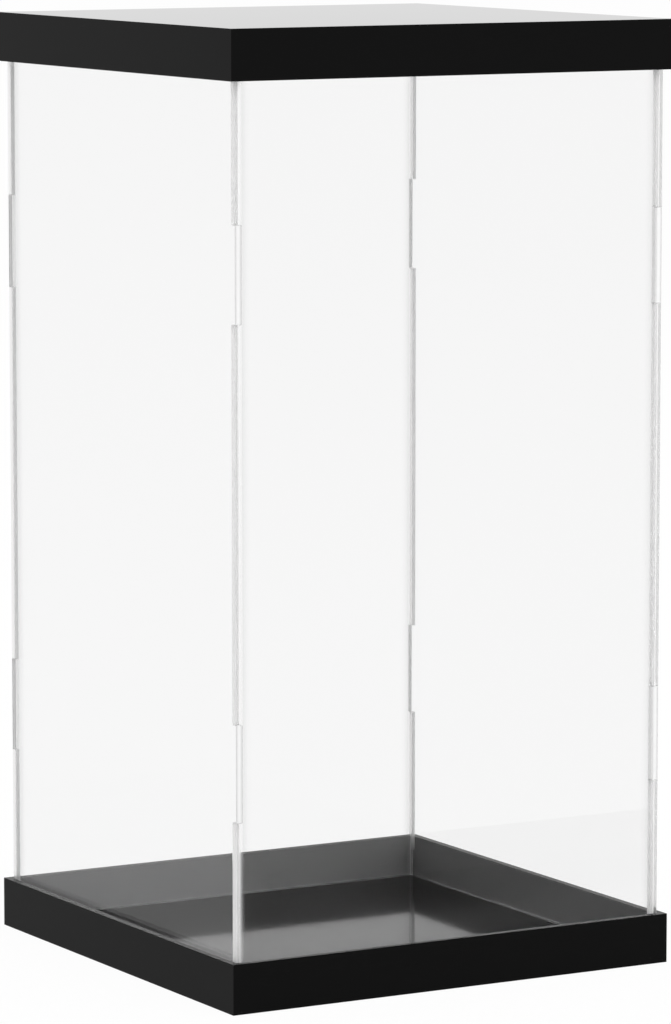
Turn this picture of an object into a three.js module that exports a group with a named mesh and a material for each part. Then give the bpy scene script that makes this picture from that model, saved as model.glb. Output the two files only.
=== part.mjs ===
// A tall square display case: a black base tray, a clear cover of four interlocking panels
// that stands in it, and a black lid tray that drops over the top of the cover.
// Millimetres, +Z up, front towards -Y. The origin is the middle of the underside.

import * as THREE from "three";

// Outside sizes
const caseWidth = 210; // left to right, over the trays
const caseDepth = 210; // front to back, over the trays
const caseHeight = 400; // underside of the base to the top of the lid
const trayHeight = 21; // outside height of the base, and of the lid

// Sheet that the pieces are cut from
const traySheet = 3; // black acrylic
const panelSheet = 3; // clear acrylic

// Room that the cover needs to slip in and out
const sideClearance = 0.2; // from a panel's outer face to the tray wall beside it
const seatClearance = 0.1; // from a panel's end to the tray plate over or under it

// Fingers that lock the clear panels together, two along each upright edge
const fingerLength = 40;
const fingerInset = 75.5; // from a panel's end to the nearer end of a finger
const fingerClearance = 0.1; // between a finger and its slot, on every side

// Sizes that follow from those
const panelFoot = traySheet + seatClearance; // height of the panels' lower ends
const panelHeight = caseHeight - 2 * panelFoot;
const panelInset = traySheet + sideClearance; // from the tray's outer face to a panel's
const fingerStep = panelSheet + fingerClearance; // how far a finger stands out

const blackAcrylic = new THREE.MeshStandardMaterial({
  color: "#0a0a0b",
  roughness: 0.12,
  metalness: 0,
});
const clearAcrylic = new THREE.MeshStandardMaterial({
  color: "#f1f4f4",
  roughness: 0.04,
  metalness: 0,
  transparent: true,
  opacity: 0.25,
});

// The four sides, each drawn as the front one and turned into place. Length is the tray's
// outer edge on that side, and reach is from the middle to the tray's outer face. The front
// and back panels have slots, and the left and right ones have the fingers that fill them.
const facingY = { length: caseWidth, reach: caseDepth / 2, hasSlots: true };
const facingX = { length: caseDepth, reach: caseWidth / 2, hasSlots: false };
const quarterTurn = Math.PI / 2;
const sides = [
  { name: "front", ...facingY },
  { name: "right", ...facingX },
  { name: "back", ...facingY },
  { name: "left", ...facingX },
].map((side, index) => ({ ...side, turn: index * quarterTurn }));

function outline(points) {
  return new THREE.Shape(points.map(([x, y]) => new THREE.Vector2(x, y)));
}

function cutFromSheet(points, thickness) {
  return new THREE.ExtrudeGeometry(outline(points), { depth: thickness, bevelEnabled: false });
}

function addPiece(group, name, geometry, material) {
  const piece = new THREE.Mesh(geometry, material);
  piece.name = name;
  group.add(piece);
  return piece;
}

// A tray's plate lies inside its four walls.
function plateGeometry() {
  const x = caseWidth / 2 - traySheet;
  const y = caseDepth / 2 - traySheet;
  return cutFromSheet([[-x, -y], [x, -y], [x, y], [-x, y]], traySheet);
}

// A tray's wall is mitred at both ends, so that no joint shows on the outside. It is drawn as
// seen from above.
function wallGeometry({ length, reach }) {
  const outerEnd = length / 2;
  const innerEnd = outerEnd - traySheet;
  const innerFace = traySheet - reach;
  const plan = [
    [-outerEnd, -reach],
    [outerEnd, -reach],
    [innerEnd, innerFace],
    [-innerEnd, innerFace],
  ];
  return cutFromSheet(plan, trayHeight);
}

function addTray(group, trayName, plateName, plateHeight) {
  const plate = addPiece(group, plateName, plateGeometry(), blackAcrylic);
  plate.position.z = plateHeight;
  for (const side of sides) {
    const name = `${trayName}_wall_${side.name}`;
    const wall = addPiece(group, name, wallGeometry(side), blackAcrylic);
    wall.rotation.z = side.turn;
  }
}

// A clear panel is drawn as it lies on the sheet, its foot at y = 0. Along each upright edge
// the outline steps at every finger: outwards for a finger, inwards for a slot.
function panelOutline({ length, hasSlots }) {
  const coverEdge = length / 2 - panelInset;
  const edgeX = hasSlots ? coverEdge : coverEdge - fingerStep;
  const fingerX = hasSlots ? coverEdge - fingerStep : coverEdge;
  const slack = hasSlots ? fingerClearance : 0;
  const fingerFeet = [fingerInset, panelHeight - fingerInset - fingerLength];
  const rightEdge = [[edgeX, 0]];
  for (const foot of fingerFeet) {
    const low = foot - slack;
    const high = foot + fingerLength + slack;
    rightEdge.push([edgeX, low], [fingerX, low], [fingerX, high], [edgeX, high]);
  }
  rightEdge.push([edgeX, panelHeight]);
  const leftEdge = rightEdge.map(([x, y]) => [-x, y]).reverse();
  return [...rightEdge, ...leftEdge];
}

function addPanel(group, side) {
  const geometry = cutFromSheet(panelOutline(side), panelSheet);
  geometry.rotateX(quarterTurn);
  geometry.translate(0, panelInset + panelSheet - side.reach, panelFoot);
  const panel = addPiece(group, `panel_${side.name}`, geometry, clearAcrylic);
  panel.rotation.z = side.turn;
}

const base = new THREE.Group();
addTray(base, "base", "base_floor", 0);

const cover = new THREE.Group();
for (const side of sides) {
  addPanel(cover, side);
}

const lid = new THREE.Group();
lid.position.z = caseHeight - trayHeight;
addTray(lid, "lid", "lid_top", trayHeight - traySheet);

const displayCase = new THREE.Group();
displayCase.add(base, cover, lid);

export default displayCase;
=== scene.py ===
# Looks of the tall acrylic display case: black gloss trays, a clear cover with laser-cut
# edges, a pale studio floor, soft lamps and the photograph's camera. Metres, +Z up.

from math import radians

import bpy
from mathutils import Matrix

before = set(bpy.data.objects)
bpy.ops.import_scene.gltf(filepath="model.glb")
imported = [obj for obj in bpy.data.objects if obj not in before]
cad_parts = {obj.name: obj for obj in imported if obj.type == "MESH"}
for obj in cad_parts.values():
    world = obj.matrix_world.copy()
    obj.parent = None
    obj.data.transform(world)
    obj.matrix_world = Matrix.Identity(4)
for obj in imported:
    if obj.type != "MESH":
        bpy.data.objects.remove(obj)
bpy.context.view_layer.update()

# Camera, fitted to the corners of the trays and of the lid in the photograph
CAMERA_PLACE = (-1.1405, -2.0003, 0.4859)
CAMERA_TURN = radians(-29.75)  # about the upright, to the right of straight ahead
CAMERA_DIP = radians(7.372)  # below level
CAMERA_LENS = 190.61  # for a picture whose longer side is 36

# Sizes of the case that the materials need
X_AXIS = (1, 0, 0)
Y_AXIS = (0, 1, 0)
TRAY_HALF = 0.105  # middle to the trays' outer faces
SHEET = 0.003
CASE_TOP = 0.4
MIDDLE_HEIGHT = 0.2
PANEL_MIDDLE = 0.1003  # middle of the case to the middle of a clear panel's thickness
HAIR = 0.0001  # a hair's breadth, to tell one face from the next

# Pieces by material
SIDES = ("front", "right", "back", "left")
TRAY_WALLS = [f"{tray}_wall_{side}" for tray in ("base", "lid") for side in SIDES]
PANELS = [f"panel_{side}" for side in SIDES]

# Black acrylic. A pair is the least and the most, and fineness is in patches per metre.
BLACK_IOR = 1.49
TRAY_BLACK = 0.0045
TRAY_SPECULAR = 0.035
TRAY_ROUGHNESS = (0.01, 0.025)
TRAY_FINENESS = (40, 40, 40)
# Inside the trays a lighter grey is painted sheen; the scuffs themselves are the roughness
PAINTED_SHEEN_GREY = 0.3
SCUFF_AND_SHEEN_STRENGTH = (0.88, 1.12)
SCUFF_ROUGHNESS = 0.45
SCUFF_AND_SHEEN_FINENESS = (60, 60, 250)
SIDE_SCUFFS_AND_SHEEN = 0.7  # how strong the scuffs and the painted sheen are on the left and right walls, whose lower sheen is painted shade
PLATE_BLACK = (0.0005, 0.0015)
PLATE_SPECULAR = 0.165
PLATE_ROUGHNESS = (0.07, 0.1)
PLATE_FINENESS = (60, 60, 60)
PLATE_DETAIL = 4

# Clear acrylic, its polished faces
FACE_GREY = (0.961, 0.965)
FACE_FINENESS = (12, 12, 12)
CORNER_FROM = 0.0945  # middle of the case to where a panel starts to haze and to darken with painted shade
SHADE_END = 0.0987  # and to where the painted shade is darkest, just short of the sheet that butts on
HAZE_END = 0.1003  # and to where it is haziest, over the middle of that sheet
HAZE_POWER = 6.0  # how late the haze sets in on that way

# Clear acrylic, its cut edges
CUT_EDGE_LIMIT = 0.8  # a normal that reaches less far across the sheet is a cut edge's
EDGE_GREY = 0.95
RIM_POWER = 2.0  # how close to a face the grey of a tip's rim sets in; a darker rim is painted shade
FROST_ROUGHNESS = 0.15
FROST_REACH = 0.173  # middle height to where the frost starts to fade
FROST_END = 0.192  # and to where it is gone, inside the trays
STROKE_FINENESS = (300, 300, 4000)
STROKE_STRENGTH = 0.1
STROKE_DEPTH = 0.0001
EDGE_ROUNDING = 0.0001
EDGE_SEGMENTS = 2
CORNER_MERGE = 0.00001

# Studio
FLOOR_SIDE = 40.0
FLOOR_DROP = 0.0001  # under the case, so that no two faces share a place
FLOOR_WHITE = 0.96  # how much of the floor is plain white as seen, the rest keeps the shadow
FLOOR_GREY = 0.9
LIGHT_BOUNCES = 64
STUDIO_LEVEL = 0.75  # of the room's light on the case, where 1 is white


# Nodes

def add_node(tree, kind, inputs=None, **settings):
    """A node with its settings, and with a number, a colour or another node's output per input."""
    node = tree.nodes.new(kind)
    for name, value in settings.items():
        setattr(node, name, value)
    for name, value in (inputs or {}).items():
        if isinstance(value, bpy.types.NodeSocket):
            tree.links.new(value, node.inputs[name])
        else:
            node.inputs[name].default_value = value
    return node


def math(tree, operation, first, second=0.0):
    return add_node(tree, "ShaderNodeMath", {0: first, 1: second}, operation=operation).outputs[0]


def blend_number(tree, share, low, high):
    inputs = {"Value": share, "To Min": low, "To Max": high}
    return add_node(tree, "ShaderNodeMapRange", inputs).outputs["Result"]


def blend_over(tree, value, start, end, curve="SMOOTHSTEP"):
    """0 where the value is at start, 1 where it is at end, and held there beyond both."""
    inputs = {"Value": value, "From Min": start, "From Max": end}
    step = add_node(tree, "ShaderNodeMapRange", inputs, interpolation_type=curve)
    return step.outputs["Result"]


def grey(level):
    return (level, level, level, 1)


def blend_grey(tree, share, low, high):
    """A colour. The node's inputs 6 and 7 and its output 2 are the ones for colours."""
    inputs = {"Factor": share, 6: grey(low), 7: grey(high)}
    return add_node(tree, "ShaderNodeMix", inputs, data_type="RGBA").outputs[2]


def coordinates(tree):
    return add_node(tree, "ShaderNodeTexCoord").outputs


def separate(tree, vector):
    return add_node(tree, "ShaderNodeSeparateXYZ", {0: vector}).outputs


def along(tree, vector, direction):
    """How far a vector reaches along a direction, whichever way."""
    inputs = {0: vector, 1: direction}
    dot = add_node(tree, "ShaderNodeVectorMath", inputs, operation="DOT_PRODUCT")
    return math(tree, "ABSOLUTE", dot.outputs["Value"])


def stretched_noise(tree, fineness, detail=2.0):
    """Noise with its own fineness along x, y and z, in patches per metre."""
    place = coordinates(tree)["Object"]
    mapping = add_node(tree, "ShaderNodeMapping", {"Vector": place, "Scale": fineness})
    inputs = {"Vector": mapping.outputs[0], "Scale": 1.0, "Detail": detail}
    return add_node(tree, "ShaderNodeTexNoise", inputs).outputs["Fac"]


def new_material(name):
    material = bpy.data.materials.new(name)
    material.use_nodes = True
    tree = material.node_tree
    return material, tree, tree.nodes["Principled BSDF"]


def dress(names, material):
    for name in names:
        slots = bpy.data.objects[name].data.materials
        slots.clear()
        slots.append(material)


# Black acrylic

def inside_the_tray(tree):
    """1 on the faces that look into a tray, 0 on its outer faces, its rim and the lid's top."""
    place = separate(tree, coordinates(tree)["Object"])
    inner_face = TRAY_HALF - SHEET + HAIR
    inside_x = math(tree, "LESS_THAN", math(tree, "ABSOLUTE", place["X"]), inner_face)
    inside_y = math(tree, "LESS_THAN", math(tree, "ABSOLUTE", place["Y"]), inner_face)
    under_the_top = math(tree, "LESS_THAN", place["Z"], CASE_TOP - HAIR)
    inside = math(tree, "MULTIPLY", inside_x, inside_y)
    return math(tree, "MULTIPLY", inside, under_the_top)


def scuffs_and_painted_sheen(tree):
    """How scuffed a place is by the panels that slide past, and how much painted sheen its lighter
    grey shows; both less on the left and right walls, where the lower sheen is painted shade.
    """
    patches = blend_number(tree, stretched_noise(tree, SCUFF_AND_SHEEN_FINENESS), *SCUFF_AND_SHEEN_STRENGTH)
    scuffs_and_sheen = math(tree, "MULTIPLY", inside_the_tray(tree), patches)
    on_a_side = along(tree, coordinates(tree)["Normal"], X_AXIS)
    # Painted shade: the left and right walls get less of the painted sheen
    return math(tree, "MULTIPLY", scuffs_and_sheen, blend_number(tree, on_a_side, 1.0, SIDE_SCUFFS_AND_SHEEN))


def tray_material():
    """Polished outside, scuffed inside, with a lighter grey inside that is painted sheen."""
    material, tree, shader = new_material("black_acrylic_polished")
    scuffs_and_sheen = scuffs_and_painted_sheen(tree)
    # Painted sheen: the inner faces get a lighter grey, in the scuffs' patches
    colour = blend_grey(tree, scuffs_and_sheen, TRAY_BLACK, PAINTED_SHEEN_GREY)
    polish = blend_number(tree, stretched_noise(tree, TRAY_FINENESS), *TRAY_ROUGHNESS)
    scuff_roughness = math(tree, "MULTIPLY", scuffs_and_sheen, SCUFF_ROUGHNESS)
    roughness = math(tree, "MAXIMUM", polish, scuff_roughness)
    tree.links.new(colour, shader.inputs["Base Color"])
    tree.links.new(roughness, shader.inputs["Roughness"])
    shader.inputs["IOR"].default_value = BLACK_IOR
    shader.inputs["Specular IOR Level"].default_value = TRAY_SPECULAR
    return material


def floor_plate_material():
    """The plate that the exhibit stands on, mirror-like with a slight haze."""
    material, tree, shader = new_material("black_acrylic_floor")
    polish = stretched_noise(tree, PLATE_FINENESS, PLATE_DETAIL)
    colour = blend_grey(tree, polish, *PLATE_BLACK)
    roughness = blend_number(tree, polish, *PLATE_ROUGHNESS)
    tree.links.new(colour, shader.inputs["Base Color"])
    tree.links.new(roughness, shader.inputs["Roughness"])
    shader.inputs["IOR"].default_value = BLACK_IOR
    shader.inputs["Specular IOR Level"].default_value = PLATE_SPECULAR
    return material


# Clear acrylic. A sheet's faces look along across, and it runs along level. Reach is how far
# a place on it is from the middle of the case, along level.

def on_a_cut_edge(tree, across):
    """1 on the cut edges of a panel, 0 on its two polished faces."""
    facing = along(tree, coordinates(tree)["Normal"], across)
    return math(tree, "LESS_THAN", facing, CUT_EDGE_LIMIT)


def towards_a_face(tree, across):
    """0 at the middle of the panel's thickness, 1 at either face."""
    offset = math(tree, "SUBTRACT", along(tree, coordinates(tree)["Object"], across), PANEL_MIDDLE)
    return math(tree, "DIVIDE", math(tree, "ABSOLUTE", offset), SHEET / 2)


def face_grey_and_painted_shade(tree, reach, painted_corner_shade):
    """The polished faces, a trace of grey, and painted shade that deepens up to where another sheet
    butts on.
    """
    trace = blend_number(tree, stretched_noise(tree, FACE_FINENESS), *FACE_GREY)
    nearness = blend_over(tree, reach, CORNER_FROM, SHADE_END)
    over_a_sheet = math(tree, "GREATER_THAN", reach, SHADE_END)
    # Painted shade, darker towards the upright edge
    painted_shade = blend_number(tree, nearness, 1.0, painted_corner_shade)
    return math(tree, "MULTIPLY", trace, blend_number(tree, over_a_sheet, painted_shade, 1.0))


def face_clearness(tree, reach, corner_haze):
    """1 on the polished faces, less where they haze close to an upright edge."""
    nearness = blend_over(tree, reach, CORNER_FROM, HAZE_END, curve="LINEAR")
    hazy = math(tree, "MULTIPLY", math(tree, "POWER", nearness, HAZE_POWER), corner_haze)
    before_the_end = math(tree, "LESS_THAN", reach, HAZE_END)
    return math(tree, "SUBTRACT", 1.0, math(tree, "MULTIPLY", hazy, before_the_end))


def edge_grey(tree, reach, across, tip_greys):
    """The cut edges. The tips are the outermost ones, with greys of their own, middle and rim. A
    rim darker than the middle is painted shade.
    """
    tip_middle, tip_rim = tip_greys
    tip = math(tree, "GREATER_THAN", reach, PANEL_MIDDLE)
    rim = math(tree, "POWER", towards_a_face(tree, across), RIM_POWER)
    at_the_middle = blend_number(tree, tip, EDGE_GREY, tip_middle)
    at_the_rim = blend_number(tree, tip, EDGE_GREY, tip_rim)
    return blend_number(tree, rim, at_the_middle, at_the_rim)


def frost_share(tree, edge, height):
    """1 where a cut edge is frosted, fading to 0 inside the trays, and 0 on the faces."""
    off_middle = math(tree, "ABSOLUTE", math(tree, "SUBTRACT", height, MIDDLE_HEIGHT))
    outside_the_trays = blend_over(tree, off_middle, FROST_END, FROST_REACH)
    return math(tree, "MULTIPLY", edge, outside_the_trays)


def cutting_strokes(tree, edge):
    """The normal, with fine strokes across the cut edges."""
    strokes = math(tree, "MULTIPLY", edge, stretched_noise(tree, STROKE_FINENESS))
    inputs = {"Height": strokes, "Strength": STROKE_STRENGTH, "Distance": STROKE_DEPTH}
    return add_node(tree, "ShaderNodeBump", inputs).outputs[0]


def panel_material(
        name, across, level, ior, tip_greys, edge_clearness, painted_corner_shade, corner_haze):
    """Clear sheet with frosted edges."""
    material, tree, shader = new_material(name)
    place = coordinates(tree)["Object"]
    reach = along(tree, place, level)
    edge = on_a_cut_edge(tree, across)
    frost = frost_share(tree, edge, separate(tree, place)["Z"])
    faces = face_grey_and_painted_shade(tree, reach, painted_corner_shade)
    clearness = face_clearness(tree, reach, corner_haze)
    edges = edge_grey(tree, reach, across, tip_greys)
    finish = {
        "Base Color": blend_number(tree, frost, faces, edges),
        "Transmission Weight": blend_number(tree, frost, clearness, edge_clearness),
        "Roughness": math(tree, "MULTIPLY", frost, FROST_ROUGHNESS),
        "Normal": cutting_strokes(tree, edge),
    }
    for socket, value in finish.items():
        tree.links.new(value, shader.inputs[socket])
    shader.inputs["IOR"].default_value = ior
    return material


def round_cut_edges(names):
    """Each face of a piece comes with corners of its own, so these are joined first."""
    for name in names:
        modifiers = bpy.data.objects[name].modifiers
        modifiers.new("joined_corners", "WELD").merge_threshold = CORNER_MERGE
        bevel = modifiers.new("rounded_edge", "BEVEL")
        bevel.width = EDGE_ROUNDING
        bevel.segments = EDGE_SEGMENTS
        bevel.limit_method = "ANGLE"


# Studio

def seen_by_eye(tree):
    """1 for what the camera sees directly, in a gloss or through the clear sheet."""
    path = add_node(tree, "ShaderNodeLightPath").outputs
    eye_or_gloss = math(tree, "MAXIMUM", path["Is Camera Ray"], path["Is Glossy Ray"])
    return math(tree, "MAXIMUM", eye_or_gloss, path["Is Transmission Ray"])


def make_world():
    world = bpy.data.worlds.new("studio")
    bpy.context.scene.world = world
    world.use_nodes = True
    tree = world.node_tree
    strength = blend_number(tree, seen_by_eye(tree), STUDIO_LEVEL, 1.0)
    background = tree.nodes["Background"]
    background.inputs["Color"].default_value = grey(1)
    tree.links.new(strength, background.inputs["Strength"])


def floor_material():
    material, tree, shader = new_material("studio_floor")
    tree.nodes.remove(shader)
    matt = add_node(tree, "ShaderNodeBsdfDiffuse", {"Color": grey(FLOOR_GREY)})
    white = add_node(tree, "ShaderNodeEmission", {"Color": grey(1), "Strength": 1.0})
    share = math(tree, "MULTIPLY", seen_by_eye(tree), FLOOR_WHITE)
    mix = add_node(tree, "ShaderNodeMixShader", {0: share, 1: matt.outputs[0], 2: white.outputs[0]})
    tree.links.new(mix.outputs[0], tree.nodes["Material Output"].inputs["Surface"])
    return material


def make_floor():
    half = FLOOR_SIDE / 2
    corners = [(-half, -half), (half, -half), (half, half), (-half, half)]
    mesh = bpy.data.meshes.new("studio_floor")
    mesh.from_pydata([(x, y, -FLOOR_DROP) for x, y in corners], [], [(0, 1, 2, 3)])
    floor = bpy.data.objects.new("studio_floor", mesh)
    bpy.context.collection.objects.link(floor)
    floor.data.materials.append(floor_material())


def make_lamp(name, place, side, power):
    """A square soft box that faces the middle of the case."""
    light = bpy.data.lights.new(name, "AREA")
    light.shape = "SQUARE"
    light.size = side
    light.energy = power
    lamp = bpy.data.objects.new(name, light)
    lamp.location = place
    towards = -lamp.location
    towards.z += MIDDLE_HEIGHT
    lamp.rotation_euler = towards.to_track_quat("-Z", "Y").to_euler()
    bpy.context.collection.objects.link(lamp)


def set_light_bounces(count):
    """Enough for light that enters a clear panel's cut edge to leave by the far one."""
    cycles = bpy.context.scene.cycles
    cycles.max_bounces = count
    cycles.transmission_bounces = count
    cycles.glossy_bounces = count


def make_camera():
    data = bpy.data.cameras.new("camera")
    data.lens = CAMERA_LENS
    camera = bpy.data.objects.new("camera", data)
    camera.location = CAMERA_PLACE
    camera.rotation_euler = (radians(90) - CAMERA_DIP, 0, CAMERA_TURN)
    bpy.context.collection.objects.link(camera)
    bpy.context.scene.camera = camera


bpy.context.scene.view_settings.view_transform = "Standard"
set_light_bounces(LIGHT_BOUNCES)
make_camera()
make_world()
make_floor()
make_lamp("soft_box_front", place=(1.5, -2.3, 1.7), side=2.5, power=32)
make_lamp("soft_box_top", place=(0.3, 0.6, 3.0), side=2.4, power=24)

# The front and back sheets run the full width, and the side sheets butt on their inner faces
front_sheet = panel_material(
    "clear_acrylic_front_back", across=Y_AXIS, level=X_AXIS, ior=1.10,
    tip_greys=(0.95, 0.95), edge_clearness=0.5, painted_corner_shade=0.885, corner_haze=0.7)
# The side sheets' tips are darker at the rim, painted shade
side_sheet = panel_material(
    "clear_acrylic_sides", across=X_AXIS, level=Y_AXIS, ior=1.18,
    tip_greys=(0.97, 0.6), edge_clearness=0.15, painted_corner_shade=1.0, corner_haze=0.0)
dress(TRAY_WALLS + ["lid_top"], tray_material())
dress(["base_floor"], floor_plate_material())
dress(["panel_front", "panel_back"], front_sheet)
dress(["panel_left", "panel_right"], side_sheet)
round_cut_edges(PANELS)
